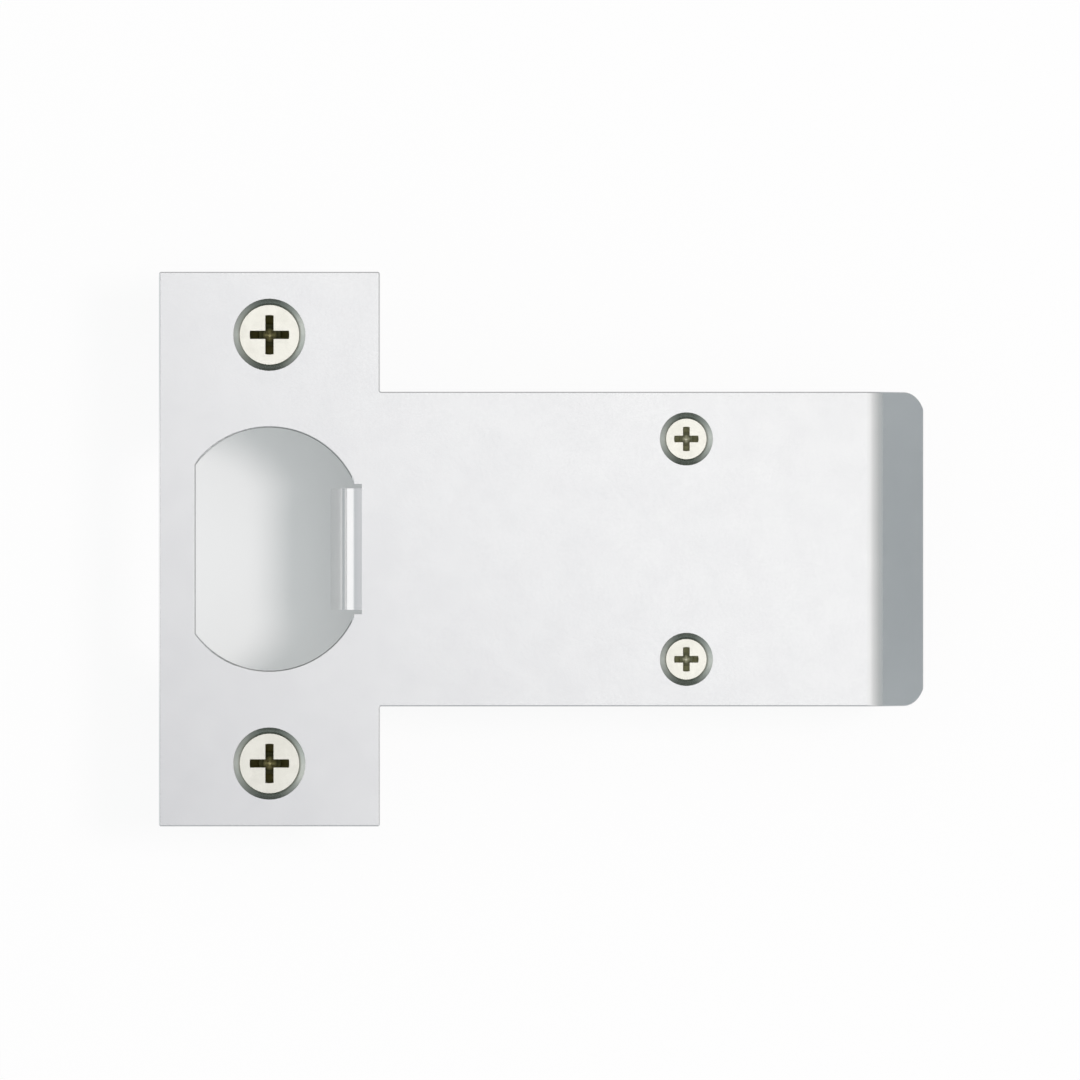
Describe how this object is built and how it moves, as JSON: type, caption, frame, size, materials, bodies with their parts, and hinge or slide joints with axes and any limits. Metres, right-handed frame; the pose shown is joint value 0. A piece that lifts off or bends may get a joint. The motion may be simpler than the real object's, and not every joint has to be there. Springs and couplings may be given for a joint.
{
  "type": "door strike plate",
  "caption": "T-shaped door strike plate: countersunk face plate with latch opening and bent tang, long lip with its end bent back, held by flat-head wood screws.",
  "frame": {"origin": "centre of the face plate's screw hole pattern, on the back of the sheet", "axes": "+X out along the lip, +Y up the face plate, +Z out of the front face"},
  "size_m": [0.0964, 0.0698, 0.0197],
  "materials": {
    "satin_nickel_sheet": "satin nickel plated steel sheet, tumbled soft at the front edges",
    "nickel_screw": "warm nickel plated steel, smooth head"
  },
  "bodies": {
    "root": {"strike_plate": "satin_nickel_sheet", "face_screw_upper": "nickel_screw", "face_screw_lower": "nickel_screw", "lip_screw_upper": "nickel_screw", "lip_screw_lower": "nickel_screw"}
  },
  "joints": []
}
